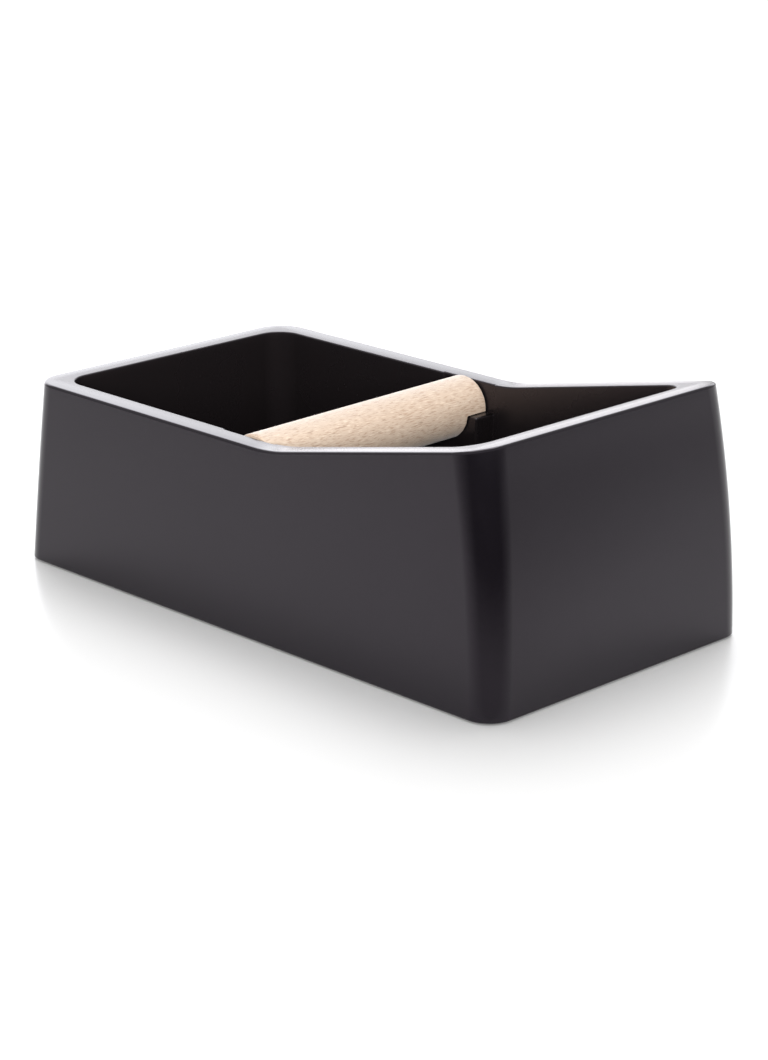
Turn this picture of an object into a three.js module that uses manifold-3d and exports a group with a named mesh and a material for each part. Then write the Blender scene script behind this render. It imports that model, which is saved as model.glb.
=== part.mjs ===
// Espresso knock box: a double-walled moulded tub with a sloping rim, a beech knock bar that rests in
// two pockets, a base plate, its screws and four rubber feet.
// Millimetres. +X runs to the tall front end, +Y to the left side, +Z up. The origin is on the table
// under the middle of the box.

import * as THREE from 'three';
import { mergeVertices } from 'three/addons/utils/BufferGeometryUtils.js';
import Module from 'manifold-3d';

const wasm = await Module();
wasm.setup();

// ---- driving dimensions -------------------------------------------------------------------------

// Outer body
const BODY_LENGTH = 291;
const BODY_WIDTH = 154.1;
const BODY_BOTTOM = 0.8;            // the skirt stands clear of the table by this much, on its feet
const REAR_HEIGHT = 82.9;           // rim height over the level rear part, above the skirt's edge
const RIM_SLOPE = 0.2107;           // rise of the front part of the rim, per mm of length
const BEND_X = 17;                  // where the level rim turns into the slope
const BEND_TANGENT = 10;            // half length of the rounded bend
const CORNER_RADIUS_BOTTOM = 11.5;  // upright corners, in plan
const CORNER_RADIUS_TOP = 15;
const CORNER_TOP_HEIGHT = 108;      // height at which the corner radius reaches its top value

// Inward lean of the outer walls at a height h above the skirt's edge: LINEAR * h + QUADRATIC * h * h
const SIDE_LEAN = { linear: 0.0099, quadratic: 0.00015 };
const FRONT_LEAN = { linear: -0.0059, quadratic: 0.00091 };
const REAR_LEAN = { linear: 0.096, quadratic: 0.00003 };

// Rim
const RIM_SIDE = 10.6;
const RIM_FRONT = 14.4;
const RIM_REAR = 10.1;
const RIM_OUTER_FILLET = 1.3;
const RIM_INNER_FILLET = 0.7;
const RIM_INNER_CORNER = 11.5;      // plan radius of the tub's corners at the rim

// Tub and walls
const WALL = 2.8;
const SKIRT_CHAMFER = 0.5;
const TUB_DRAFT = 0.021;            // the tub narrows downwards by this much per mm, on each side
const FLOOR_TOP = 8;
const FLOOR_FILLET = 9;

// Knock bar
const BAR_X = -3.8;
const BAR_RADIUS = 13;
const BAR_AXIS_Z = 71.9;
const BAR_TURN = Math.PI / 90;      // the loose bar lies turned by this much, seen from above
const BAR_FLAT_DROP = 0.9;          // the half-lap's flat lies this far below the axis
const BAR_END_GAP = 0.75;           // from each end to the back of its pocket
const BAR_LAP_LENGTH = 12.3;
const BAR_CHAMFER = 0.8;

// Pockets and ledges that carry the bar
const POCKET_HALF_WIDTH = 15.65;    // leaves the bar room to lie turned
const POCKET_DEPTH = 0.8;
const LEDGE_GAP = 0.3;              // between the ledge and the bar's flat
const LEDGE_SHOULDER_GAP = 1.1;     // between the ledge and the lap's shoulder
const LEDGE_EDGE_RADIUS = 1;

// Base
const PLATE_GAP = 0.4;              // round the plate's edge
const PLATE_BOTTOM = 1.4;
const PLATE_TOP = 4;
const PLATE_CORNER = 9;
const BOSS_BOTTOM = 4.3;
const BOSS_TOP = 30;
const BOSS_RADIUS = 4.9;
const BOSS_Y = 69.4;
const BOSS_XS = [-112, 28, 116];
const SCREW_HOLE_RADIUS = 1.9;
const SCREW_HOLE_DEPTH = 16;
const SCREW_CORE_RADIUS = 1.5;
const SCREW_HEAD_RADIUS = 2.7;
const SCREW_HEAD_HEIGHT = 1.5;
const SCREW_HEAD_SINK = 0.1;        // the head's face lies this far inside the plate
const SCREW_LENGTH = 14;
const SCREW_CLEARANCE = 0.35;
const SCREW_SLOT_WIDTH = 0.9;
const SCREW_SLOT_LENGTH = 3.6;
const SCREW_SLOT_DEPTH = 0.8;
const FOOT_RADIUS = 8;
const FOOT_TOP = 2.2;
const FOOT_CHAMFER = 0.5;
const FOOT_RECESS_TOP = 2.5;
const FOOT_RECESS_RADIUS = 8.4;
const FOOT_X = 118;
const FOOT_Y = 50;

// Smoothness of the faceted solids
const CORNER_STEPS = 7;
const BEND_STEPS = 6;
const WALL_STEPS = 4;
const FILLET_STEPS = 3;
const FLOOR_FILLET_STEPS = 5;
const BAR_SIDES = 40;
const ROUND_SIDES = 24;
const SIDE_STATIONS = [-60, 70];    // extra places along the long sides, away from the bend
const MIN_CORNER_RADIUS = 0.5;

const CUT_MARGIN = 2;               // how far a cutting shape runs past the face that it opens

// ---- materials ----------------------------------------------------------------------------------

const plastic = () => new THREE.MeshStandardMaterial({ color: 0x1b191a, roughness: 0.32, metalness: 0 });
const platePlastic = () => new THREE.MeshStandardMaterial({ color: 0x1d1c1d, roughness: 0.6, metalness: 0 });
const beech = () => new THREE.MeshStandardMaterial({ color: 0xdcc3a4, roughness: 0.6, metalness: 0 });
const steel = () => new THREE.MeshStandardMaterial({ color: 0x9a9c9e, roughness: 0.35, metalness: 1 });
const rubber = () => new THREE.MeshStandardMaterial({ color: 0x232324, roughness: 0.9, metalness: 0 });

// ---- joining and cutting ------------------------------------------------------------------------

function toSolid(geometry) {
  const bare = geometry.clone();
  bare.deleteAttribute('normal');
  bare.deleteAttribute('uv');
  const merged = mergeVertices(bare, 1e-4);
  return new wasm.Manifold(new wasm.Mesh({
    numProp: 3,
    vertProperties: new Float32Array(merged.attributes.position.array),
    triVerts: new Uint32Array(merged.index.array),
  }));
}

function toGeometry(solid) {
  const mesh = solid.getMesh();
  const geometry = new THREE.BufferGeometry();
  const positions = new Float32Array(mesh.numVert * 3);
  for (let i = 0; i < mesh.numVert; i += 1) {
    positions.set(mesh.vertProperties.subarray(i * mesh.numProp, i * mesh.numProp + 3), i * 3);
  }
  geometry.setAttribute('position', new THREE.BufferAttribute(positions, 3));
  geometry.setIndex(new THREE.BufferAttribute(new Uint32Array(mesh.triVerts), 1));
  geometry.computeVertexNormals();
  return geometry;
}

// A box between two corners.
function boxBetween(low, high) {
  const size = [0, 1, 2].map((axis) => high[axis] - low[axis]);
  const geometry = new THREE.BoxGeometry(...size);
  geometry.translate(low[0] + size[0] / 2, low[1] + size[1] / 2, low[2] + size[2] / 2);
  return geometry;
}

// A solid turned about an upright axis at (x, y). The profile is [radius, z] and starts and ends on the axis.
function turned(profile, x, y, sides = ROUND_SIDES) {
  const geometry = new THREE.LatheGeometry(profile.map((p) => new THREE.Vector2(...p)), sides);
  geometry.rotateX(Math.PI / 2);
  geometry.translate(x, y, 0);
  return geometry;
}

// ---- the body's shape as formulas ---------------------------------------------------------------

function lean(law, z) {
  const h = Math.max(z - BODY_BOTTOM, 0);
  return law.linear * h + law.quadratic * h * h;
}

// Height of the rim's top face at a place along the length.
function rimHeight(x) {
  const level = BODY_BOTTOM + REAR_HEIGHT;
  const along = x - BEND_X;
  if (along <= -BEND_TANGENT) return level;
  if (along >= BEND_TANGENT) return level + RIM_SLOPE * along;
  return level + (RIM_SLOPE * (along + BEND_TANGENT) ** 2) / (4 * BEND_TANGENT);
}

function outerCornerRadius(z) {
  const share = (z - BODY_BOTTOM) / CORNER_TOP_HEIGHT;
  return CORNER_RADIUS_BOTTOM + (CORNER_RADIUS_TOP - CORNER_RADIUS_BOTTOM) * share;
}

// Places round the plan outline, in order. A corner place is an angle on that corner's arc, and a side
// place is a fixed x on a long side, closer together over the rim's bend.
function outlinePlaces() {
  const bend = [];
  for (let i = 0; i <= BEND_STEPS; i += 1) {
    bend.push(BEND_X - BEND_TANGENT + (2 * BEND_TANGENT * i) / BEND_STEPS);
  }
  const along = [SIDE_STATIONS[0], ...bend, SIDE_STATIONS[1]];
  const places = [];
  const corner = (signX, signY, from) => {
    for (let i = 0; i <= CORNER_STEPS; i += 1) {
      const angle = from + (Math.PI / 2) * (i / CORNER_STEPS);
      places.push({ signX, signY, cos: Math.cos(angle), sin: Math.sin(angle) });
    }
  };
  corner(1, 1, 0);
  [...along].reverse().forEach((x) => places.push({ x, signY: 1 }));
  corner(-1, 1, Math.PI / 2);
  corner(-1, -1, Math.PI);
  along.forEach((x) => places.push({ x, signY: -1 }));
  corner(1, -1, (3 * Math.PI) / 2);
  return places;
}

// The point at one outline place and height, moved in from the outer wall by an inset for each side.
function outlinePoint(place, z, inset, radius) {
  const halfWidth = BODY_WIDTH / 2 - lean(SIDE_LEAN, z) - inset.side;
  if (place.x !== undefined) return [place.x, place.signY * halfWidth];
  const end = place.signX > 0
    ? BODY_LENGTH / 2 - lean(FRONT_LEAN, z) - inset.front
    : BODY_LENGTH / 2 - lean(REAR_LEAN, z) - inset.rear;
  return [
    place.signX * (end - radius) + radius * place.cos,
    place.signY * (halfWidth - radius) + radius * place.sin,
  ];
}

const even = (inset) => ({ side: inset, front: inset, rear: inset });
const mixInsets = (a, b, share) => ({
  side: a.side + (b.side - a.side) * share,
  front: a.front + (b.front - a.front) * share,
  rear: a.rear + (b.rear - a.rear) * share,
});
const addInset = (a, extra) => ({ side: a.side + extra, front: a.front + extra, rear: a.rear + extra });
const RIM = { side: RIM_SIDE, front: RIM_FRONT, rear: RIM_REAR };

// A point that hangs a set drop below the rim's sloping top face.
function pointBelowRim(place, drop, inset, radiusAt) {
  let z = BODY_BOTTOM + REAR_HEIGHT;
  let point = [0, 0];
  for (let pass = 0; pass < 6; pass += 1) {
    point = outlinePoint(place, z, inset, radiusAt(z));
    z = rimHeight(point[0]) - drop;
  }
  return [point[0], point[1], z];
}

// ---- one profile of the moulding, at one outline place ------------------------------------------

// The outside wall from the skirt's edge to the foot of the rim's rounding.
function outsideWall(place) {
  const top = pointBelowRim(place, RIM_OUTER_FILLET, even(0), outerCornerRadius);
  const points = [];
  const bottom = BODY_BOTTOM + SKIRT_CHAMFER;
  points.push([...outlinePoint(place, BODY_BOTTOM, even(SKIRT_CHAMFER), CORNER_RADIUS_BOTTOM), BODY_BOTTOM]);
  for (let i = 0; i < WALL_STEPS; i += 1) {
    const z = bottom + ((top[2] - bottom) * i) / WALL_STEPS;
    points.push([...outlinePoint(place, z, even(0), outerCornerRadius(z)), z]);
  }
  points.push(top);
  return points;
}

// The rim from its outer rounding across the flat to its inner rounding.
function rimTop(place) {
  const points = [];
  for (let i = 1; i <= FILLET_STEPS; i += 1) {
    const angle = (Math.PI / 2) * (i / FILLET_STEPS);
    const inset = RIM_OUTER_FILLET * (1 - Math.cos(angle));
    const drop = RIM_OUTER_FILLET * (1 - Math.sin(angle));
    points.push(pointBelowRim(place, drop, even(inset), (z) => outerCornerRadius(z) - inset));
  }
  for (let i = 0; i <= FILLET_STEPS; i += 1) {
    const angle = (Math.PI / 2) * (1 - i / FILLET_STEPS);
    const back = RIM_INNER_FILLET * (1 - Math.cos(angle));
    const drop = RIM_INNER_FILLET * (1 - Math.sin(angle));
    points.push(pointBelowRim(place, drop, addInset(RIM, -back), () => RIM_INNER_CORNER + back));
  }
  return points;
}

// The tub's wall going down to its floor, for the face that is moved out from the tub's own face by back.
function tubWall(place, back) {
  const lip = pointBelowRim(place, 0, RIM, () => RIM_INNER_CORNER);
  const points = [];
  const filletCentre = FLOOR_TOP + FLOOR_FILLET;
  const at = (z, extra) => {
    const narrowing = TUB_DRAFT * (lip[2] - z);
    const inset = addInset(RIM, narrowing + extra);
    const radius = RIM_INNER_CORNER - narrowing - extra;
    return [...outlinePoint(place, lip[2], inset, Math.max(radius, MIN_CORNER_RADIUS)), z];
  };
  if (back > 0) {
    points.push(at(lip[2] - back, -back));
  }
  points.push(at(filletCentre, -back));
  for (let i = 1; i <= FLOOR_FILLET_STEPS; i += 1) {
    const angle = (Math.PI / 2) * (i / FLOOR_FILLET_STEPS);
    const reach = FLOOR_FILLET + back;
    const [x, y] = at(filletCentre, FLOOR_FILLET - reach * Math.cos(angle));
    points.push([x, y, filletCentre - reach * Math.sin(angle)]);
  }
  return points;
}

// The hidden face of the skirt, from under the rim down to the skirt's edge.
function insideSkirt(place) {
  const radiusAt = (z) => outerCornerRadius(z) - WALL;
  const top = pointBelowRim(place, WALL, even(WALL), radiusAt);
  const points = [top];
  for (let i = WALL_STEPS - 1; i >= 0; i -= 1) {
    const z = BODY_BOTTOM + ((top[2] - BODY_BOTTOM) * i) / WALL_STEPS;
    points.push([...outlinePoint(place, z, even(WALL), radiusAt(z)), z]);
  }
  return points;
}

// The moulding without its pockets and bosses: one closed skin of rings round the outline.
function mouldingGeometry() {
  const places = outlinePlaces();
  const rings = places.map((place) => [
    ...tubWall(place, WALL).reverse(),
    ...insideSkirt(place),
    ...outsideWall(place),
    ...rimTop(place),
    ...tubWall(place, 0),
  ]);
  const rows = rings[0].length;
  const positions = [0, 0, FLOOR_TOP - WALL, 0, 0, FLOOR_TOP];
  rings.forEach((ring) => ring.forEach((point) => positions.push(...point)));
  const index = [];
  const vertex = (column, row) => 2 + (column % rings.length) * rows + row;
  for (let column = 0; column < rings.length; column += 1) {
    index.push(0, vertex(column + 1, 0), vertex(column, 0));
    index.push(1, vertex(column, rows - 1), vertex(column + 1, rows - 1));
    for (let row = 0; row < rows - 1; row += 1) {
      const a = vertex(column, row);
      const b = vertex(column + 1, row);
      const c = vertex(column + 1, row + 1);
      const d = vertex(column, row + 1);
      index.push(a, b, c, a, c, d);
    }
  }
  const geometry = new THREE.BufferGeometry();
  geometry.setAttribute('position', new THREE.BufferAttribute(new Float32Array(positions), 3));
  geometry.setIndex(index);
  return geometry;
}

// ---- bar pockets, ledges and screw bosses -------------------------------------------------------

// Half width between the tub's two long walls at the bar, at a height.
function tubHalfWidth(z) {
  const lipZ = rimHeight(BAR_X);
  return BODY_WIDTH / 2 - lean(SIDE_LEAN, lipZ) - RIM_SIDE - TUB_DRAFT * (lipZ - z);
}

const BAR_FLAT_Z = BAR_AXIS_Z - BAR_FLAT_DROP;
const LEDGE_Z = BAR_FLAT_Z - LEDGE_GAP;
const POCKET_Y = tubHalfWidth(rimHeight(BAR_X)) + POCKET_DEPTH;
const BAR_HALF_LENGTH = POCKET_Y - BAR_END_GAP;
const LEDGE_Y = BAR_HALF_LENGTH - BAR_LAP_LENGTH + LEDGE_SHOULDER_GAP;
const POCKET_LOW_X = BAR_X - POCKET_HALF_WIDTH;
const POCKET_HIGH_X = BAR_X + POCKET_HALF_WIDTH;
const HOLLOW_REACH = tubHalfWidth(LEDGE_Z) + WALL + 1;

// The pillar that carries the ledge, with rounded upright edges and a rounded top edge.
function ledgePillar(side) {
  const r = LEDGE_EDGE_RADIUS;
  const outline = new THREE.Shape();
  const reach = tubHalfWidth(FLOOR_TOP) + WALL / 2;
  outline.moveTo(POCKET_LOW_X + r, LEDGE_Y + r);
  outline.lineTo(POCKET_HIGH_X - r, LEDGE_Y + r);
  outline.lineTo(POCKET_HIGH_X - r, reach);
  outline.lineTo(POCKET_LOW_X + r, reach);
  outline.closePath();
  const foot = FLOOR_TOP - WALL / 2;
  const geometry = new THREE.ExtrudeGeometry(outline, {
    depth: LEDGE_Z - r - foot,
    bevelEnabled: true,
    bevelThickness: r,
    bevelSize: r,
    bevelSegments: FILLET_STEPS,
    curveSegments: FILLET_STEPS,
  });
  geometry.translate(0, 0, foot);
  if (side < 0) geometry.rotateZ(Math.PI).translate(POCKET_LOW_X + POCKET_HIGH_X, 0, 0);
  return geometry;
}

// The hollow behind the ledge, open to the underside so that the pillar keeps an even wall.
function ledgeHollow(side) {
  const low = side > 0 ? LEDGE_Y + WALL : -HOLLOW_REACH;
  const high = side > 0 ? HOLLOW_REACH : -(LEDGE_Y + WALL);
  return boxBetween(
    [POCKET_LOW_X + WALL, low, 0],
    [POCKET_HIGH_X - WALL, high, LEDGE_Z - WALL],
  );
}

// The shallow pocket in the tub's wall that the end of the bar drops into, open at the rim.
function barPocket(side) {
  const low = side > 0 ? LEDGE_Y + LEDGE_EDGE_RADIUS : -POCKET_Y;
  const high = side > 0 ? POCKET_Y : -(LEDGE_Y + LEDGE_EDGE_RADIUS);
  return boxBetween([POCKET_LOW_X, low, LEDGE_Z], [POCKET_HIGH_X, high, rimHeight(BAR_X) + CUT_MARGIN]);
}

function bossPlaces() {
  return BOSS_XS.flatMap((x) => [[x, BOSS_Y], [x, -BOSS_Y]]);
}

function bodyMoulding() {
  let solid = toSolid(mouldingGeometry());
  for (const side of [1, -1]) {
    solid = solid.add(toSolid(ledgePillar(side)));
    solid = solid.subtract(toSolid(ledgeHollow(side)));
    solid = solid.subtract(toSolid(barPocket(side)));
  }
  for (const [x, y] of bossPlaces()) {
    const boss = turned([[0, BOSS_BOTTOM], [BOSS_RADIUS, BOSS_BOTTOM], [BOSS_RADIUS, BOSS_TOP], [0, BOSS_TOP]], x, y);
    const holeTop = BOSS_BOTTOM + SCREW_HOLE_DEPTH;
    const hole = turned([[0, 0], [SCREW_HOLE_RADIUS, 0], [SCREW_HOLE_RADIUS, holeTop], [0, holeTop]], x, y);
    solid = solid.add(toSolid(boss)).subtract(toSolid(hole));
  }
  return toGeometry(solid);
}

// ---- knock bar ----------------------------------------------------------------------------------

// The dowel with a half-lap under each end, made along Y and then turned and set in place.
function knockBar() {
  const half = BAR_HALF_LENGTH;
  const r = BAR_RADIUS;
  const c = BAR_CHAMFER;
  const profile = [[0, -half], [r - c, -half], [r, -half + c], [r, half - c], [r - c, half], [0, half]];
  const dowel = new THREE.LatheGeometry(profile.map((p) => new THREE.Vector2(...p)), BAR_SIDES);
  let solid = toSolid(dowel);
  for (const side of [1, -1]) {
    const shoulder = side * (half - BAR_LAP_LENGTH);
    const beyond = side * (half + CUT_MARGIN);
    solid = solid.subtract(toSolid(boxBetween(
      [-r - CUT_MARGIN, Math.min(shoulder, beyond), -r - CUT_MARGIN],
      [r + CUT_MARGIN, Math.max(shoulder, beyond), -BAR_FLAT_DROP],
    )));
  }
  return toGeometry(solid).rotateZ(BAR_TURN).translate(BAR_X, 0, BAR_AXIS_Z);
}

// ---- base plate, screws and feet ----------------------------------------------------------------

function plateOutline() {
  const z = PLATE_TOP;
  const back = WALL + PLATE_GAP;
  const halfWidth = BODY_WIDTH / 2 - lean(SIDE_LEAN, z) - back;
  const front = BODY_LENGTH / 2 - back - Math.max(lean(FRONT_LEAN, z), 0);
  const rear = -(BODY_LENGTH / 2 - lean(REAR_LEAN, z) - back);
  const r = PLATE_CORNER;
  const outline = new THREE.Shape();
  outline.moveTo(front, -halfWidth + r);
  outline.absarc(front - r, halfWidth - r, r, 0, Math.PI / 2);
  outline.absarc(rear + r, halfWidth - r, r, Math.PI / 2, Math.PI);
  outline.absarc(rear + r, -halfWidth + r, r, Math.PI, (3 * Math.PI) / 2);
  outline.absarc(front - r, -halfWidth + r, r, (3 * Math.PI) / 2, 2 * Math.PI);
  return outline;
}

const SCREW_FACE_Z = PLATE_BOTTOM + SCREW_HEAD_SINK;
const SCREW_NECK_Z = PLATE_BOTTOM + SCREW_HEAD_HEIGHT;

// The countersunk screw as [radius, z] points, from its head's face up to its tip.
function screwProfile() {
  const head = SCREW_HEAD_RADIUS;
  const core = SCREW_CORE_RADIUS;
  const top = PLATE_BOTTOM + SCREW_LENGTH;
  return [[0, SCREW_FACE_Z], [head, SCREW_FACE_Z], [core, SCREW_NECK_Z], [core, top - core], [0, top]];
}

// The hole for that screw in the plate, with clearance all round.
function screwHoleProfile() {
  const head = SCREW_HEAD_RADIUS + SCREW_CLEARANCE;
  const core = SCREW_CORE_RADIUS + SCREW_CLEARANCE;
  const top = PLATE_TOP + CUT_MARGIN;
  return [
    [0, -CUT_MARGIN], [head, -CUT_MARGIN],
    [head, SCREW_FACE_Z + SCREW_CLEARANCE], [core, SCREW_NECK_Z + SCREW_CLEARANCE],
    [core, top], [0, top],
  ];
}

function footPlaces() {
  return {
    foot_front_left: [FOOT_X, FOOT_Y],
    foot_front_right: [FOOT_X, -FOOT_Y],
    foot_rear_left: [-FOOT_X, FOOT_Y],
    foot_rear_right: [-FOOT_X, -FOOT_Y],
  };
}

function basePlate() {
  const slab = new THREE.ExtrudeGeometry(plateOutline(), {
    depth: PLATE_TOP - PLATE_BOTTOM,
    bevelEnabled: false,
    curveSegments: CORNER_STEPS,
  });
  slab.translate(0, 0, PLATE_BOTTOM);
  let solid = toSolid(slab);
  for (const [x, y] of bossPlaces()) {
    solid = solid.subtract(toSolid(turned(screwHoleProfile(), x, y)));
  }
  for (const [x, y] of Object.values(footPlaces())) {
    const top = FOOT_RECESS_TOP;
    const r = FOOT_RECESS_RADIUS;
    solid = solid.subtract(toSolid(turned([[0, 0], [r, 0], [r, top], [0, top]], x, y)));
  }
  return toGeometry(solid);
}

function baseScrew(x, y) {
  let solid = toSolid(turned(screwProfile(), x, y));
  const long = SCREW_SLOT_LENGTH / 2;
  const wide = SCREW_SLOT_WIDTH / 2;
  const top = SCREW_FACE_Z + SCREW_SLOT_DEPTH;
  for (const [dx, dy] of [[long, wide], [wide, long]]) {
    solid = solid.subtract(toSolid(boxBetween([x - dx, y - dy, 0], [x + dx, y + dy, top])));
  }
  return toGeometry(solid);
}

function foot(x, y) {
  const r = FOOT_RADIUS;
  const c = FOOT_CHAMFER;
  return turned([[0, 0], [r - c, 0], [r, c], [r, FOOT_TOP], [0, FOOT_TOP]], x, y);
}

// ---- assembly -----------------------------------------------------------------------------------

const knockBox = new THREE.Group();

function addPiece(name, geometry, material) {
  const mesh = new THREE.Mesh(geometry, material);
  mesh.name = name;
  knockBox.add(mesh);
}

addPiece('body_moulding', bodyMoulding(), plastic());
addPiece('knock_bar', knockBar(), beech());
addPiece('base_plate', basePlate(), platePlastic());
bossPlaces().forEach(([x, y], i) => addPiece(`base_screw_${i + 1}`, baseScrew(x, y), steel()));
for (const [name, [x, y]] of Object.entries(footPlaces())) {
  addPiece(name, foot(x, y), rubber());
}

export default knockBox;
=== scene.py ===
import math

import bmesh
import bpy
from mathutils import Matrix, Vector


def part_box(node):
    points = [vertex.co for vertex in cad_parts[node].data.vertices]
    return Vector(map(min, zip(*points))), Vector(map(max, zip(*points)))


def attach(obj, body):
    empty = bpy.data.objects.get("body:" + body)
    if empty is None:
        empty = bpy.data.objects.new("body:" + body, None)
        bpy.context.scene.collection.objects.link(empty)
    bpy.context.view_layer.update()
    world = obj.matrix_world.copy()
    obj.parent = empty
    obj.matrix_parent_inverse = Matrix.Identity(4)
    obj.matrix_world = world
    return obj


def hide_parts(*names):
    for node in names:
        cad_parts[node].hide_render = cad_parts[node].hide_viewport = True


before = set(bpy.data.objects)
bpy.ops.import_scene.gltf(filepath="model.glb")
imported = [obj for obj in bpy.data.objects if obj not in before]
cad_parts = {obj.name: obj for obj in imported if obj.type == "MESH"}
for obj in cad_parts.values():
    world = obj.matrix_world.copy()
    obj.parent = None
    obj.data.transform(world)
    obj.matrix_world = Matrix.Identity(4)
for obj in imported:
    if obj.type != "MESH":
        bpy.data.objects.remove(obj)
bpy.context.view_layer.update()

MM = 0.001                       # outlines below are in millimetres and become metres in add_mesh

# ---- sizes taken from the frame, in millimetres ---------------------------------------------------

BODY_LOW, BODY_HIGH = (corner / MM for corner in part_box("body_moulding"))
BAR_LOW, BAR_HIGH = (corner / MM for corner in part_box("knock_bar"))

LENGTH = round(BODY_HIGH.x - BODY_LOW.x, 1)
WIDTH = round(BODY_HIGH.y - BODY_LOW.y, 1)
BOTTOM = BODY_LOW.z
BAR_TURN = math.radians(2.0)     # the loose bar lies turned by this much in its pockets
BAR_CHAMFER = 0.8
BAR_X = (BAR_LOW.x + BAR_HIGH.x) / 2
BAR_RADIUS = (BAR_HIGH.z - BAR_LOW.z) / 2
BAR_AXIS_Z = BAR_HIGH.z - BAR_RADIUS
BAR_HALF_LENGTH = (BAR_HIGH.y - (BAR_RADIUS - BAR_CHAMFER) * math.sin(BAR_TURN)) / math.cos(BAR_TURN)

# ---- the moulding's design, the same rules as the CAD body ----------------------------------------

REAR_HEIGHT = 82.9
RIM_SLOPE = 0.2107
BEND_X = 17.0
BEND_TANGENT = 10.0
CORNER_BOTTOM = 11.5
CORNER_TOP = 15.0
CORNER_TOP_HEIGHT = 108.0
SIDE_LEAN = (0.0099, 0.00015)
FRONT_LEAN = (-0.0059, 0.00091)
REAR_LEAN = (0.096, 0.00003)
RIM_SIDE, RIM_FRONT, RIM_REAR = 10.6, 14.4, 10.1
RIM_OUTER_FILLET = 1.3
RIM_INNER_FILLET = 0.7
RIM_INNER_CORNER = 11.5
RIM_CROWN = 0.09                 # the rim's flat is very slightly crowned
WALL = 2.8
SKIRT_FILLET = 0.5
TUB_DRAFT = 0.021
FLOOR_TOP = 8.0
FLOOR_FILLET = 9.0
FILLET_ROOM = 13.0               # the wall's points this near a pillar make room for the fillet at its foot

BAR_FLAT_DROP = 0.9
BAR_LAP = 12.3
BAR_END_GAP = 0.75
LEDGE_GAP = 0.3
LEDGE_SHOULDER_GAP = 1.1
POCKET_HALF_WIDTH = 15.65
LEDGE_ROUND = 1.0                # rounded edges of the ledge
SEAT_CONCAVE = 0.5               # fillet where the pillar meets the tub's wall
POCKET_CONVEX = 0.25
POCKET_CONCAVE = 0.25

BAR_FLAT_Z = BAR_AXIS_Z - BAR_FLAT_DROP
LEDGE_Z = BAR_FLAT_Z - LEDGE_GAP
POCKET_Y = BAR_HALF_LENGTH + BAR_END_GAP
LEDGE_Y = BAR_HALF_LENGTH - BAR_LAP + LEDGE_SHOULDER_GAP
FILLET_Z = FLOOR_TOP + FLOOR_FILLET

# mesh fineness
CORNER_STEPS = 16
END_STEPS = 8
ARC_STEPS = 5                    # on the small rounded edges
FLOOR_ARC_STEPS = 8
RIM_ARC_STEPS = 7
RIM_SHARES = (0.08, 0.22, 0.36, 0.5, 0.64, 0.78, 0.92)     # across the flat of the rim
WALL_ROWS = 26
TUB_ROWS = 9
LEDGE_ROWS = 3
SKIRT_STEPS = 3
HOLLOW_ROWS = 5
SIDE_STEP = 7.5                  # between places along a long side, in millimetres
BEND_STEP = 1.0
LEDGE_STEP = 1.6
SIDE_FRONT, SIDE_REAR = 118.0, -116.0                      # where a long side meets its corners
TINY = 0.02


def lean(law, z):
    """How far a wall leans in at height z."""
    h = max(z - BOTTOM, 0.0)
    return law[0] * h + law[1] * h * h


def rim_height(x):
    """Height of the rim's flat: level over the rear, then a bend, then the slope up to the front."""
    level = BOTTOM + REAR_HEIGHT
    along = x - BEND_X
    if along <= -BEND_TANGENT:
        return level
    if along >= BEND_TANGENT:
        return level + RIM_SLOPE * along
    return level + RIM_SLOPE * (along + BEND_TANGENT) ** 2 / (4 * BEND_TANGENT)


def corner_radius(z):
    return CORNER_BOTTOM + (CORNER_TOP - CORNER_BOTTOM) * (z - BOTTOM) / CORNER_TOP_HEIGHT


def outline_point(place, z, inset, radius):
    """A point of the plan outline at height z, moved in by an inset for (side, front, rear)."""
    half = WIDTH / 2 - lean(SIDE_LEAN, z) - inset[0]
    kind = place["kind"]
    if kind in ("side", "seat"):
        return place["x"], place["sy"] * half
    sx = place["sx"]
    end = LENGTH / 2 - (lean(FRONT_LEAN, z) + inset[1] if sx > 0 else lean(REAR_LEAN, z) + inset[2])
    if kind == "end":
        return sx * end, place["share"] * (half - radius)
    return (sx * (end - radius) + radius * place["cos"],
            place["sy"] * (half - radius) + radius * place["sin"])


def even(inset):
    return inset, inset, inset


def rim_inset(extra):
    return RIM_SIDE + extra, RIM_FRONT + extra, RIM_REAR + extra


def below_rim(drop, point_at):
    """Follows the sloping rim: point_at(z) gives x, y, and the result lies drop below the rim there."""
    z = BOTTOM + REAR_HEIGHT
    for _ in range(7):
        x, y = point_at(z)
        z = rim_height(x) - drop
    return x, y, z


def tub_half_width(x, z):
    """From the middle of the bin to its long wall, at a place along the box and a height."""
    lip = rim_height(x)
    return WIDTH / 2 - lean(SIDE_LEAN, lip) - RIM_SIDE - TUB_DRAFT * (lip - z)


def arc(cx, cy, radius, start, end, t):
    """The point at share t along an arc between two angles in degrees."""
    angle = math.radians(start + (end - start) * t)
    return cx + radius * math.cos(angle), cy + radius * math.sin(angle)


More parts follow.
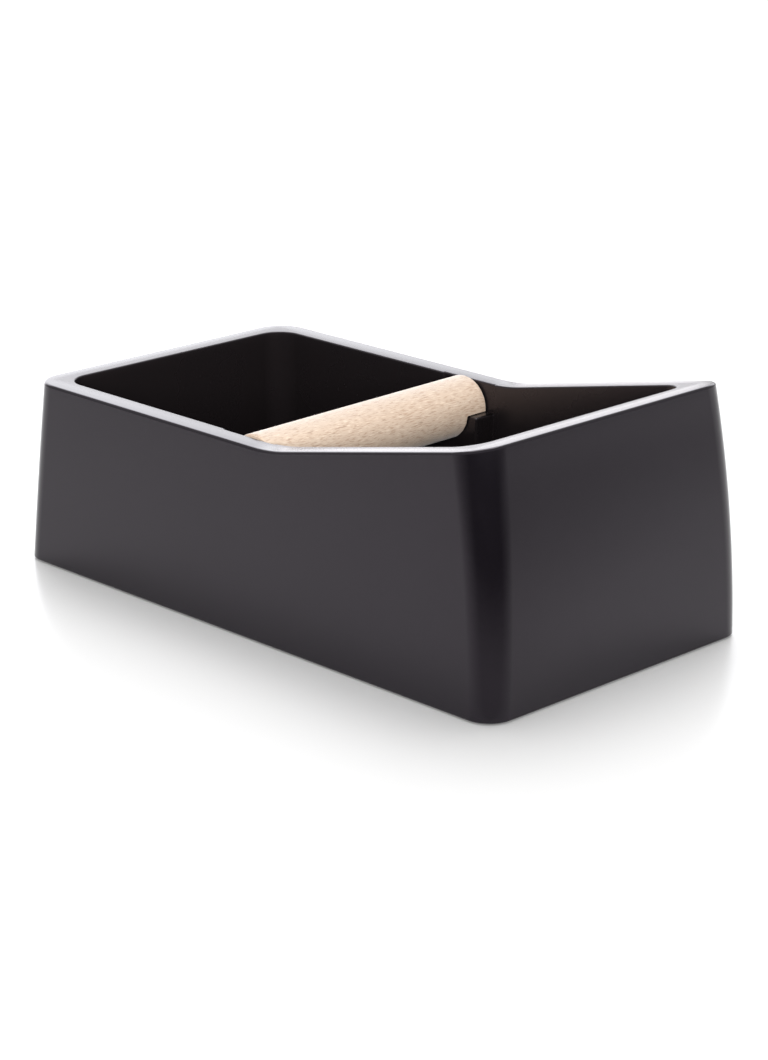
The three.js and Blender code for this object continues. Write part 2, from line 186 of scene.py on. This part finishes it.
def seat_low(place, z, e_wall, e_pillar):
    """The tub's face round a bar ledge, below its top, for the half with dx > 0 and y > 0."""
    wall = tub_half_width(BAR_X + POCKET_HALF_WIDTH * place["end"], z)
    if place["part"] == "face":
        return place["dx"], LEDGE_Y - e_pillar
    if place["part"] == "wall_arc":
        r = max(SEAT_CONCAVE - max(e_wall, 0.0), TINY)
        return arc(POCKET_HALF_WIDTH + e_pillar + r, wall - e_wall - r, r, 90, 180, place["t"])
    r = max(LEDGE_ROUND + e_pillar, 0.0)
    x, y = arc(POCKET_HALF_WIDTH - LEDGE_ROUND, LEDGE_Y + LEDGE_ROUND, r, 0, -90, place["t"])
    return x, min(y, wall - max(e_wall, 0.0) - 2 * TINY)


def seat_up(place, z, e):
    """The tub's face round a bar pocket, above the ledge, for the half with dx > 0 and y > 0."""
    wall = tub_half_width(BAR_X + POCKET_HALF_WIDTH * place["end"], z)
    if place["part"] == "face":
        return place["dx"], POCKET_Y - e
    if place["part"] == "wall_arc":
        r = max(POCKET_CONVEX + e, 0.0)
        out = max(POCKET_CONVEX, -e)
        return arc(POCKET_HALF_WIDTH + out, wall + out, r, 270, 180, place["t"])
    r = max(POCKET_CONCAVE - e, TINY)
    return arc(POCKET_HALF_WIDTH - POCKET_CONCAVE, POCKET_Y - POCKET_CONCAVE, r, 0, 90, place["t"])


def seat_world(place, point):
    """Puts a point of the seat's half with dx > 0 and y > 0 where it belongs on the box."""
    dx, y = point
    return BAR_X + place["end"] * dx, place["sy"] * y


def outline_places():
    """Every place round the outline, in order, starting at the front left corner."""
    def spread(start, stop, step):
        count = max(1, round(abs(stop - start) / step))
        return [start + (stop - start) * i / count for i in range(1, count)]

    def seat_half(end, sy):
        """From the wall beside the pocket to the middle of the ledge."""
        out = []
        reach = POCKET_HALF_WIDTH + SEAT_CONCAVE
        inner = POCKET_HALF_WIDTH - LEDGE_ROUND
        steps = 2 * ARC_STEPS + 1
        for j in range(steps + 1):
            x = BAR_X + end * (reach + (inner - reach) * j / steps)
            part = "wall_arc" if j <= ARC_STEPS else "face_arc"
            t = (j if j <= ARC_STEPS else j - ARC_STEPS - 1) / ARC_STEPS
            out.append(dict(kind="seat", sy=sy, end=end, part=part, t=t, x=x))
        for dx in spread(inner, 0.0, LEDGE_STEP):
            out.append(dict(kind="seat", sy=sy, end=end, part="face", dx=dx, x=BAR_X + end * dx))
        return out

    def side(sy):
        """A long side from front to rear."""
        seat_front = BAR_X + POCKET_HALF_WIDTH + SEAT_CONCAVE
        seat_rear = BAR_X - POCKET_HALF_WIDTH - SEAT_CONCAVE
        bend_end = BEND_X + BEND_TANGENT
        xs = [*spread(SIDE_FRONT, bend_end, SIDE_STEP), bend_end, *spread(bend_end, seat_front, BEND_STEP)]
        places = [dict(kind="side", sy=sy, x=x) for x in xs]
        places += seat_half(1, sy)
        places.append(dict(kind="seat", sy=sy, end=1, part="face", dx=0.0, x=BAR_X))
        places += reversed(seat_half(-1, sy))
        places += [dict(kind="side", sy=sy, x=x) for x in spread(seat_rear, SIDE_REAR, SIDE_STEP)]
        return places

    def corner(sx, sy, start):
        out = []
        for i in range(CORNER_STEPS + 1):
            angle = math.radians(start + 90 * i / CORNER_STEPS)
            out.append(dict(kind="corner", sx=sx, sy=sy, cos=math.cos(angle), sin=math.sin(angle)))
        return out

    def end(sx):
        shares = [1 - 2 * i / END_STEPS for i in range(1, END_STEPS)]
        return [dict(kind="end", sx=sx, share=-sx * s) for s in shares]

    return [
        *corner(1, 1, 0), *side(1), *corner(-1, 1, 90), *end(-1),
        *corner(-1, -1, 180), *reversed(side(-1)), *corner(1, -1, 270), *end(1),
    ]


def tub_point(place, z, e):
    """The tub's face at height z, moved towards the bin by e, away from the bar's seats."""
    lip = place["lip"]
    narrowing = TUB_DRAFT * (lip - z)
    radius = max(RIM_INNER_CORNER - narrowing - e, 0.4)
    return outline_point(place, lip, rim_inset(narrowing + e), radius)


def beside_pillar(place, e):
    """A place on a long wall, moved along so that it stays clear of the fillet round a pillar's foot."""
    reach = POCKET_HALF_WIDTH + SEAT_CONCAVE
    away = abs(place["x"] - BAR_X) - reach if place["kind"] == "side" else FILLET_ROOM
    if e <= 0.0 or away >= FILLET_ROOM:
        return place
    moved = reach + e + away * (1 - e / FILLET_ROOM)
    return dict(place, x=BAR_X + math.copysign(moved, place["x"] - BAR_X))


def steps(count, first=0):
    return [i / count for i in range(first, count + 1)]


def quarter_round(radius, angle):
    """How far a rounded edge lies in from its side face and down from its top face."""
    return radius * (1 - math.cos(angle)), radius * (1 - math.sin(angle))


def tub(place, z, e_wall, e_pillar, low=True):
    """The bin's face at height z. Where there is a ledge, low is below its top and the rest is the pocket."""
    if place["kind"] != "seat":
        return (*tub_point(beside_pillar(place, e_wall), z, e_wall), z)
    path = seat_low(place, z, e_wall, e_pillar) if low else seat_up(place, z, e_wall)
    return (*seat_world(place, path), z)


def lip_point(place, e, drop):
    """A point by the rim's inner edge, moved towards the bin by e and hanging a drop below the rim."""
    if place["kind"] == "seat":
        return below_rim(drop, lambda z: seat_world(place, seat_up(place, place["lip"], e)))
    return below_rim(drop, lambda z: outline_point(place, z, rim_inset(e), RIM_INNER_CORNER - e))


def outer_point(place, inset, drop):
    """A point of the outside, moved in by an inset and hanging a drop below the rim."""
    return below_rim(drop, lambda z: outline_point(place, z, even(inset), corner_radius(z) - inset))


def bin_side(place):
    """From the bin's floor up its wall and over the ledge to the rim's inner edge."""
    points = []
    for t in steps(FLOOR_ARC_STEPS):                      # floor fillet
        angle = math.pi / 2 * (1 - t)
        e = FLOOR_FILLET * (1 - math.cos(angle))
        points.append(tub(place, FILLET_Z - FLOOR_FILLET * math.sin(angle), e, e))
    ledge_start = LEDGE_Z - LEDGE_ROUND
    for t in steps(TUB_ROWS, 1):                          # tub wall up to the ledge
        points.append(tub(place, FILLET_Z + (ledge_start - FILLET_Z) * t, 0.0, 0.0))
    for t in steps(ARC_STEPS, 1):                         # rounded top edge of the ledge
        angle = math.pi / 2 * t
        z = ledge_start + LEDGE_ROUND * math.sin(angle)
        points.append(tub(place, z, 0.0, -LEDGE_ROUND * (1 - math.cos(angle))))
    edge = points[-1]
    back = tub(place, LEDGE_Z, 0.0, 0.0, low=False)
    for t in steps(LEDGE_ROWS, 1):                        # top of the ledge
        points.append(tuple(a + (b - a) * t for a, b in zip(edge, back)))
    lip_foot = place["lip"] - RIM_INNER_FILLET
    for t in steps(TUB_ROWS, 1)[:-1]:                     # tub wall or pocket up to the rim
        points.append(tub(place, LEDGE_Z + (lip_foot - LEDGE_Z) * t, 0.0, 0.0, low=False))
    for t in steps(ARC_STEPS):                            # rim's inner rounding
        inset, drop = quarter_round(RIM_INNER_FILLET, math.pi / 2 * t)
        points.append(lip_point(place, -inset, drop))
    return points


def rim_and_outside(place, rim_in):
    """From the rim's inner edge across its flat, down the outside wall and round the skirt's edge."""
    points = []
    rim_out = outer_point(place, RIM_OUTER_FILLET, 0.0)
    for t in RIM_SHARES:                                  # flat of the rim
        x = rim_in[0] + (rim_out[0] - rim_in[0]) * t
        y = rim_in[1] + (rim_out[1] - rim_in[1]) * t
        points.append((x, y, rim_height(x) + RIM_CROWN * 4 * t * (1 - t)))
    for t in steps(RIM_ARC_STEPS):                        # rim's outer rounding
        points.append(outer_point(place, *quarter_round(RIM_OUTER_FILLET, math.pi / 2 * (1 - t))))
    top = points[-1][2]
    foot = BOTTOM + SKIRT_FILLET
    for t in steps(WALL_ROWS, 1):                         # outside wall
        z = top + (foot - top) * t
        points.append((*outline_point(place, z, even(0.0), corner_radius(z)), z))
    for t in steps(SKIRT_STEPS, 1):                       # skirt's edge
        angle = math.pi / 2 * t
        inset = SKIRT_FILLET * (1 - math.cos(angle))
        z = foot - SKIRT_FILLET * math.sin(angle)
        points.append((*outline_point(place, foot, even(inset), CORNER_BOTTOM - inset), z))
    points.append((*outline_point(place, BOTTOM, even(WALL), CORNER_BOTTOM - WALL), BOTTOM))
    return points


def hollow(place):
    """The hidden faces between the walls: up the skirt, down the tub's back and under the floor's fillet."""
    points = []
    under = outer_point(place, WALL, WALL)
    for t in steps(HOLLOW_ROWS, 1):                       # inside of the skirt
        z = BOTTOM + (under[2] - BOTTOM) * t
        points.append((*outline_point(place, z, even(WALL), corner_radius(z) - WALL), z))
    plain = dict(place, kind="side") if place["kind"] == "seat" else place
    for t in steps(HOLLOW_ROWS):                          # back of the tub's wall
        z = (place["lip"] - WALL) + (FILLET_Z - place["lip"] + WALL) * t
        points.append((*tub_point(plain, z, -WALL), z))
    for t in steps(HOLLOW_ROWS, 1):                       # underside of the floor fillet
        angle = math.pi / 2 * t
        reach = FLOOR_FILLET + WALL
        x, y = tub_point(plain, FILLET_Z, FLOOR_FILLET - reach * math.cos(angle))
        points.append((x, y, FILLET_Z - reach * math.sin(angle)))
    return points


def column(place):
    """All the points of the moulding's skin at one place of the outline."""
    place["lip"] = BOTTOM + REAR_HEIGHT
    place["lip"] = lip_point(place, 0.0, 0.0)[2]
    inner = bin_side(place)
    return inner + rim_and_outside(place, inner[-1]) + hollow(place)


# ---- mesh helpers -----------------------------------------------------------------------------------

def add_mesh(name, vertices, faces, sharp_degrees=32.0):
    """A piece from millimetre vertices, with doubles merged, normals outward and smooth shading."""
    mesh = bpy.data.meshes.new(name)
    mesh.from_pydata([Vector(v) * MM for v in vertices], [], faces)
    bm = bmesh.new()
    bm.from_mesh(mesh)
    bmesh.ops.remove_doubles(bm, verts=bm.verts, dist=2e-6)
    bmesh.ops.dissolve_degenerate(bm, edges=bm.edges, dist=1e-6)
    bmesh.ops.recalc_face_normals(bm, faces=bm.faces)
    bm.to_mesh(mesh)
    bm.free()
    mesh.polygons.foreach_set("use_smooth", [True] * len(mesh.polygons))
    mesh.set_sharp_from_angle(angle=math.radians(sharp_degrees))
    piece = bpy.data.objects.new(name, mesh)
    bpy.context.scene.collection.objects.link(piece)
    weighted = piece.modifiers.new("weighted_normals", "WEIGHTED_NORMAL")
    weighted.keep_sharp = True
    weighted.weight = 80
    return piece


def ring_faces(columns, rows, first):
    """Quads between neighbouring columns of a closed ring, and one flat face over each end of the columns."""
    faces = [
        tuple(first + c * rows for c in range(columns)),
        tuple(first + c * rows + rows - 1 for c in reversed(range(columns))),
    ]
    for c in range(columns):
        a, b = first + c * rows, first + ((c + 1) % columns) * rows
        for r in range(rows - 1):
            faces.append((a + r, a + r + 1, b + r + 1, b + r))
    return faces


def make_body():
    columns = [column(place) for place in outline_places()]
    rows = len(columns[0])
    vertices = [point for points in columns for point in points]
    return add_mesh("body_shell", vertices, ring_faces(len(columns), rows, 0))


def make_bar():
    """The dowel as rings along Y. At its ends the lower part of each ring is pressed up to the flat."""
    sides = 96
    chamfer, edge = BAR_CHAMFER, 0.35
    half, radius = BAR_HALF_LENGTH, BAR_RADIUS
    shoulder = half - BAR_LAP

    def settled(x, y, z):
        c, s = math.cos(BAR_TURN), math.sin(BAR_TURN)
        return BAR_X + c * x - s * y, s * x + c * y, BAR_AXIS_Z + z

    def ring(y, r, lapped):
        points = []
        for i in range(sides):
            angle = 2 * math.pi * i / sides
            above = radius * math.sin(angle) > -BAR_FLAT_DROP
            reach = radius if above and abs(y) < half - chamfer else r
            x, z = reach * math.cos(angle), reach * math.sin(angle)
            if lapped:
                z = max(z, -BAR_FLAT_DROP)
            points.append(settled(x, y, z))
        return points

    end_rings = [
        (half, radius - chamfer, True),
        (half - 0.2 * chamfer, radius - 0.62 * chamfer, True),
        (half - 0.6 * chamfer, radius - 0.2 * chamfer, True),
        (half - chamfer, radius, True),
        *((shoulder + (half - chamfer - shoulder) * t, radius, True) for t in (0.75, 0.5, 0.25, 0.0)),
        (shoulder, radius - edge, False),
        (shoulder - 0.3 * edge, radius - 0.3 * edge, False),
        (shoulder - edge, radius, False),
    ]
    middle = [(shoulder * s, radius, False) for s in (0.9, 0.75, 0.6, 0.45, 0.3, 0.15, 0.0)]
    front = end_rings + middle
    rings = [ring(y, r, lapped) for y, r, lapped in front]
    rings += [ring(-y, r, lapped) for y, r, lapped in reversed(front[:-1])]
    columns = [[points[i] for points in rings] for i in range(sides)]
    vertices = [point for points in columns for point in points]
    return add_mesh("beech_bar", vertices, ring_faces(sides, len(rings), 0), 28.0)


# ---- materials, with places in metres ---------------------------------------------------------------

BIN_SHIFT = 0.003                # the bin's middle lies this far to the rear
BIN_HALF_WIDTH = (0.070, 0.066)  # the duller inside fades in between these, across the rim
BIN_HALF_LENGTH = (0.131, 0.127)


class Nodes:
    """A short way to write a material's nodes."""

    def __init__(self, name, base, roughness, **sockets):
        self.material = bpy.data.materials.new(name)
        self.material.use_nodes = True
        self.tree = self.material.node_tree
        self.shader = self.tree.nodes["Principled BSDF"]
        self.shader.inputs["Base Color"].default_value = (*base, 1.0)
        self.shader.inputs["Roughness"].default_value = roughness
        for socket, value in sockets.items():
            self.shader.inputs[socket.replace("_", " ")].default_value = value
        self.position = self.tree.nodes.new("ShaderNodeTexCoord").outputs["Object"]

    def node(self, kind, inputs=None, **settings):
        made = self.tree.nodes.new("ShaderNode" + kind)
        for key, value in settings.items():
            setattr(made, key, value)
        for socket, value in (inputs or {}).items():
            if isinstance(value, bpy.types.NodeSocket):
                self.tree.links.new(value, made.inputs[socket])
            else:
                made.inputs[socket].default_value = value
        return made

    def scaled(self, factors):
        return self.node("Mapping", {"Vector": self.position, "Scale": factors}).outputs["Vector"]

    def noise(self, vector, scale, detail=3.0, roughness=0.5, distortion=0.0):
        return self.node("TexNoise", {
            "Vector": vector, "Scale": scale, "Detail": detail,
            "Roughness": roughness, "Distortion": distortion,
        }).outputs["Fac"]

    def ramp(self, value, low, high, to_low=0.0, to_high=1.0):
        return self.node("MapRange", {
            "Value": value, "From Min": low, "From Max": high, "To Min": to_low, "To Max": to_high,
        }).outputs["Result"]

    def math(self, operation, a, b):
        return self.node("Math", {0: a, 1: b}, operation=operation).outputs["Value"]

    def mix(self, factor, a, b):
        made = self.node("Mix", data_type="RGBA")
        for socket, value in ((0, factor), (6, a), (7, b)):
            if isinstance(value, bpy.types.NodeSocket):
                self.tree.links.new(value, made.inputs[socket])
            else:
                made.inputs[socket].default_value = value if socket == 0 else (*value, 1.0)
        return made.outputs[2]

    def set(self, socket, value):
        self.tree.links.new(value, self.shader.inputs[socket])

    def bump(self, heights):
        """heights: (value, strength, distance in metres), stacked."""
        normal = None
        for value, strength, distance in heights:
            inputs = {"Height": value, "Strength": strength, "Distance": distance}
            if normal is not None:
                inputs["Normal"] = normal
            normal = self.node("Bump", inputs).outputs["Normal"]
        self.set("Normal", normal)


def body_material():
    """Semi-gloss black plastic with a faint moulded surface, duller and a little paler inside the bin."""
    m = Nodes("body_plastic", (0.0045, 0.0028, 0.0050), 0.16, Specular_IOR_Level=0.42, IOR=1.5)
    m.shader.inputs["Specular Tint"].default_value = (0.98, 0.87, 1.0, 1.0)
    peel = m.noise(m.position, 420.0, 2.0)
    fine = m.noise(m.position, 2600.0, 2.0)
    cloud = m.noise(m.position, 14.0, 4.0, 0.6)
    scuffs = m.noise(m.scaled((1.0, 9.0, 1.0)), 260.0, 4.0, 0.65)
    split = m.node("SeparateXYZ", {0: m.position})
    across = m.math("ABSOLUTE", split.outputs["Y"], 0.0)
    along = m.math("ABSOLUTE", m.math("ADD", split.outputs["X"], BIN_SHIFT), 0.0)
    inside = m.math("MULTIPLY", m.ramp(across, *BIN_HALF_WIDTH), m.ramp(along, *BIN_HALF_LENGTH))
    worn = m.math("MULTIPLY", m.ramp(scuffs, 0.66, 0.74), 0.05)
    rough = m.math("ADD", m.ramp(cloud, 0.3, 0.7, 0.14, 0.17), worn)
    m.set("Roughness", m.math("ADD", rough, m.math("MULTIPLY", inside, 0.12)))
    outer = m.mix(m.ramp(cloud, 0.35, 0.65), (0.0042, 0.0034, 0.0049), (0.0050, 0.0041, 0.0058))
    m.set("Base Color", m.mix(inside, outer, (0.0118, 0.0096, 0.0103)))
    m.bump([(peel, 0.05, 0.0002), (fine, 0.05, 0.00003)])
    return m.material


def beech_material():
    """Pale bare beech: fine grain along the bar, with short darker and paler flecks and pores."""
    m = Nodes(
        "beech", (0.41, 0.328, 0.258), 0.5,
        Specular_IOR_Level=0.45, Sheen_Weight=0.27, Sheen_Roughness=0.35)
    grain = m.noise(m.scaled((1.0, 0.05, 1.0)), 330.0, 5.0, 0.62, 0.3)
    bands = m.noise(m.scaled((1.0, 0.10, 1.0)), 70.0, 3.0, 0.55, 0.6)
    flecks = m.noise(m.scaled((1.0, 0.11, 1.0)), 2700.0, 1.0, 0.4)
    pores = m.noise(m.scaled((1.0, 0.16, 1.0)), 1500.0, 1.0, 0.4)
    fleck_mask = m.ramp(flecks, 0.575, 0.62)
    pale_mask = m.ramp(flecks, 0.40, 0.30)
    pore_mask = m.ramp(pores, 0.66, 0.74)
    wood = m.mix(m.ramp(bands, 0.3, 0.7), (0.40, 0.320, 0.252), (0.373, 0.290, 0.223))
    wood = m.mix(m.math("MULTIPLY", m.ramp(grain, 0.35, 0.7), 0.28), wood, (0.38, 0.275, 0.20))
    wood = m.mix(m.math("MULTIPLY", pale_mask, 0.50), wood, (0.53, 0.435, 0.35))
    wood = m.mix(m.math("MULTIPLY", fleck_mask, 0.66), wood, (0.27, 0.18, 0.122))
    wood = m.mix(m.math("MULTIPLY", pore_mask, 0.65), wood, (0.21, 0.135, 0.092))
    m.set("Base Color", wood)
    m.set("Roughness", m.ramp(grain, 0.2, 0.8, 0.42, 0.56))
    dents = m.math("MULTIPLY", m.math("ADD", fleck_mask, pore_mask), -1.0)
    m.bump([(grain, 0.15, 0.0002), (dents, 0.5, 0.00012)])
    return m.material


def base_material():
    """Dull black plastic with a fine spark-eroded surface."""
    m = Nodes("base_plastic", (0.020, 0.020, 0.021), 0.62)
    spark = m.noise(m.position, 1500.0, 3.0, 0.6)
    m.set("Roughness", m.ramp(spark, 0.3, 0.7, 0.55, 0.70))
    m.bump([(spark, 0.4, 0.00008)])
    return m.material


def rubber_material():
    """Dark rubber with a little dust."""
    m = Nodes("foot_rubber", (0.024, 0.024, 0.025), 0.8)
    dust = m.noise(m.position, 700.0, 4.0, 0.6)
    m.set("Roughness", m.ramp(dust, 0.3, 0.7, 0.74, 0.9))
    m.set("Base Color", m.mix(m.ramp(dust, 0.45, 0.75), (0.022, 0.022, 0.023), (0.05, 0.048, 0.046)))
    m.bump([(dust, 0.3, 0.0001)])
    return m.material


def steel_material():
    """Bright turned steel for the base screws."""
    m = Nodes("screw_steel", (0.60, 0.60, 0.62), 0.32, Metallic=1.0)
    turned = m.noise(m.position, 900.0, 3.0, 0.6)
    m.set("Roughness", m.ramp(turned, 0.3, 0.7, 0.26, 0.42))
    m.set("Base Color", m.mix(m.ramp(turned, 0.3, 0.7), (0.56, 0.57, 0.58), (0.68, 0.67, 0.64)))
    m.bump([(turned, 0.15, 0.00004)])
    return m.material


def paint(piece, material):
    piece.data.materials.clear()
    piece.data.materials.append(material)


# ---- stage, light and camera, in metres ---------------------------------------------------------------

WHITE = (1.0, 1.0, 1.0)
WARM_WHITE = (1.0, 0.99, 0.98)
WORLD_LIGHT = 0.66
FLOOR_HALF = 12.0
GLOW_START, GLOW_END, GLOW = 1.2, 2.2, 0.5                 # distances from the box, and the strength beyond
FLAG_FROM, FLAG_TO = math.radians(-150), math.radians(100)          # bearings seen from the near corner
FLAG_STEPS = 50
# The flag's section, as distance from the near corner and height: flat on the table, then standing.
FLAG_SECTION = [
    (0.0, 0.0004), (0.3, 0.0004), (0.9, 0.0004), (1.02, 0.05), (1.05, 0.15), (1.05, 0.5), (1.05, 1.0),
]
FLAG_DARKNESS = 0.92


def make_floor():
    """A white table that is lit evenly up to the horizon, by a faint glow far from the box."""
    mesh = bpy.data.meshes.new("floor")
    signs = [(-1, -1), (1, -1), (1, 1), (-1, 1)]
    mesh.from_pydata([(sx * FLOOR_HALF, sy * FLOOR_HALF, 0.0) for sx, sy in signs], [], [(0, 1, 2, 3)])
    floor = bpy.data.objects.new("floor", mesh)
    bpy.context.scene.collection.objects.link(floor)
    m = Nodes("floor_white", (0.86, 0.86, 0.86), 0.28, Specular_IOR_Level=0.3)
    m.shader.inputs["Emission Color"].default_value = (*WHITE, 1.0)
    away = m.node("VectorMath", {0: m.position}, operation="LENGTH").outputs["Value"]
    m.set("Emission Strength", m.ramp(away, GLOW_START, GLOW_END, 0.0, GLOW))
    paint(floor, m.material)


def area_light(name, location, target, size, power, colour=WHITE, fade=None):
    """A lamp that the camera doesn't see. fade: (first, last, share), where along the lamp's width, from its
    right edge, its light rises from that share to the whole."""
    light = bpy.data.lights.new(name, "AREA")
    light.shape = "RECTANGLE"
    light.size, light.size_y = size
    light.energy = power
    light.color = colour
    if fade:
        first, last, share = fade
        light.use_nodes = True
        tree = light.node_tree
        split = tree.nodes.new("ShaderNodeSeparateXYZ")
        tree.links.new(tree.nodes.new("ShaderNodeTexCoord").outputs["UV"], split.inputs[0])
        ramp = tree.nodes.new("ShaderNodeMapRange")
        tree.links.new(split.outputs["X"], ramp.inputs["Value"])
        for socket, value in (("From Min", first), ("From Max", last), ("To Min", share), ("To Max", 1.0)):
            ramp.inputs[socket].default_value = value
        tree.links.new(ramp.outputs["Result"], tree.nodes["Emission"].inputs["Strength"])
    lamp = bpy.data.objects.new(name, light)
    lamp.location = location
    lamp.rotation_euler = (Vector(target) - Vector(location)).to_track_quat("-Z", "Y").to_euler()
    lamp.visible_camera = False
    bpy.context.scene.collection.objects.link(lamp)
    return lamp


def make_world():
    """A white studio: fully white behind the object, dimmer in what it lights and what mirrors it."""
    world = bpy.data.worlds.new("studio")
    world.use_nodes = True
    tree = world.node_tree
    background = tree.nodes["Background"]
    background.inputs["Color"].default_value = (*WHITE, 1.0)
    seen = tree.nodes.new("ShaderNodeMapRange")
    path = tree.nodes.new("ShaderNodeLightPath")
    tree.links.new(path.outputs["Is Camera Ray"], seen.inputs["Value"])
    seen.inputs["To Min"].default_value = WORLD_LIGHT
    seen.inputs["To Max"].default_value = 1.0
    tree.links.new(seen.outputs["Result"], background.inputs["Strength"])
    bpy.context.scene.world = world


def make_lamps(bar):
    """Two lamps behind that only the gloss mirrors, one above, one in front, and one for the bar alone."""
    middle = (0.0, 0.0, 0.05)
    back = area_light(
        "back_softbox", location=(-1.45, 1.42, 1.00), target=middle, size=(3.4, 1.35), power=40.0,
        colour=(0.95, 0.96, 1.0), fade=(0.40, 0.60, 0.66))
    strip = area_light(
        "back_strip", location=(-1.99, 0.95, 0.14), target=(0.0, 0.0, 0.14), size=(2.2, 0.40), power=5.2,
        colour=(0.98, 0.95, 1.0), fade=(0.12, 0.20, 0.7))
    back.visible_diffuse = False
    strip.visible_diffuse = False
    area_light(
        "top_softbox", location=(-0.45, 0.45, 1.6), target=(0.0, 0.0, 0.0), size=(1.2, 1.2), power=20.0)
    fill = area_light(
        "front_fill", location=(3.00, -2.87, 1.50), target=middle, size=(2.2, 1.54), power=135.0,
        colour=WARM_WHITE)
    fill.visible_glossy = False
    spot = area_light(
        "bar_fill", location=(0.86, -0.84, 0.47), target=(0.0, 0.0, 0.07), size=(0.4, 0.4), power=24.0,
        colour=WARM_WHITE)
    spot.visible_glossy = False
    bar_only = bpy.data.collections.new("bar_only")
    bar_only.objects.link(bar)
    spot.light_linking.receiver_collection = bar_only


def flag_material():
    """Black where the near corner and the walls mirror it most, and clear towards its ends and its top."""
    m = Nodes("flag_black", (0.0, 0.0, 0.0), 1.0, Specular_IOR_Level=0.0)
    split = m.node("SeparateXYZ", {0: m.position})
    x, y, z = split.outputs
    bearing = m.node("Math", {0: y, 1: x}, operation="ARCTAN2").outputs["Value"]
    reach = m.math("SQRT", m.math("ADD", m.math("MULTIPLY", x, x), m.math("MULTIPLY", y, y)), 0.0)
    left = m.ramp(bearing, math.radians(-134), math.radians(-78))
    right = m.ramp(bearing, math.radians(62), math.radians(5))
    near = m.ramp(reach, 0.0, 0.40, 0.36, 1.0)
    high = m.ramp(z, 0.36, 0.12)
    share = m.math("MULTIPLY", m.math("MULTIPLY", left, right), m.math("MULTIPLY", near, high))
    front = m.math("SUBTRACT", 1.0, m.node("NewGeometry").outputs["Backfacing"])
    share = m.math("MULTIPLY", m.math("MULTIPLY", share, front), FLAG_DARKNESS)
    clear = m.tree.nodes.new("ShaderNodeBsdfTransparent")
    mixer = m.tree.nodes.new("ShaderNodeMixShader")
    m.tree.links.new(share, mixer.inputs[0])
    m.tree.links.new(clear.outputs[0], mixer.inputs[1])
    m.tree.links.new(m.shader.outputs[0], mixer.inputs[2])
    m.tree.links.new(mixer.outputs[0], m.tree.nodes["Material Output"].inputs["Surface"])
    return m.material


def make_flag():
    """A dark flag before the near corner, flat on the table and then standing, that only gloss can see."""
    vertices, faces = [], []
    for i in range(FLAG_STEPS + 1):
        angle = FLAG_FROM + (FLAG_TO - FLAG_FROM) * i / FLAG_STEPS
        vertices += [(r * math.cos(angle), r * math.sin(angle), z) for r, z in FLAG_SECTION]
    rows = len(FLAG_SECTION)
    for i in range(FLAG_STEPS):
        for j in range(rows - 1):
            a, b = i * rows + j, (i + 1) * rows + j
            faces.append((a, a + 1, b + 1, b))
    mesh = bpy.data.meshes.new("table_flag")
    mesh.from_pydata(vertices, [], faces)
    flag = bpy.data.objects.new("table_flag", mesh)
    flag.location = (LENGTH / 2 * MM, -WIDTH / 2 * MM, 0.0)
    bpy.context.scene.collection.objects.link(flag)
    paint(flag, flag_material())
    flag.visible_camera = False
    flag.visible_diffuse = False
    flag.visible_shadow = False
    flag.visible_transmission = False


def make_camera():
    camera_data = bpy.data.cameras.new("camera")
    camera_data.sensor_width = 36.0
    camera_data.lens = 96.9
    camera = bpy.data.objects.new("camera", camera_data)
    bpy.context.scene.collection.objects.link(camera)
    camera.location = (0.8426, -0.81465, 0.4160)
    toward = Vector((-0.67921, 0.66358, -0.31358))
    camera.rotation_mode = "QUATERNION"
    camera.rotation_quaternion = toward.to_track_quat("-Z", "Y")
    bpy.context.scene.camera = camera


# ---- assembly -------------------------------------------------------------------------------------------

make_camera()

body = make_body()
paint(body, body_material())
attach(body, "box")
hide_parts("body_moulding")

bar = make_bar()
paint(bar, beech_material())
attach(bar, "bar")
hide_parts("knock_bar")

paint(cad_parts["base_plate"], base_material())
rubber = rubber_material()
steel = steel_material()
for node_name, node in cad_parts.items():
    if node_name.startswith("foot_"):
        paint(node, rubber)
    if node_name.startswith("base_screw_"):
        paint(node, steel)

make_floor()
make_flag()
make_world()
make_lamps(bar)
bpy.context.scene.view_settings.view_transform = "Standard"
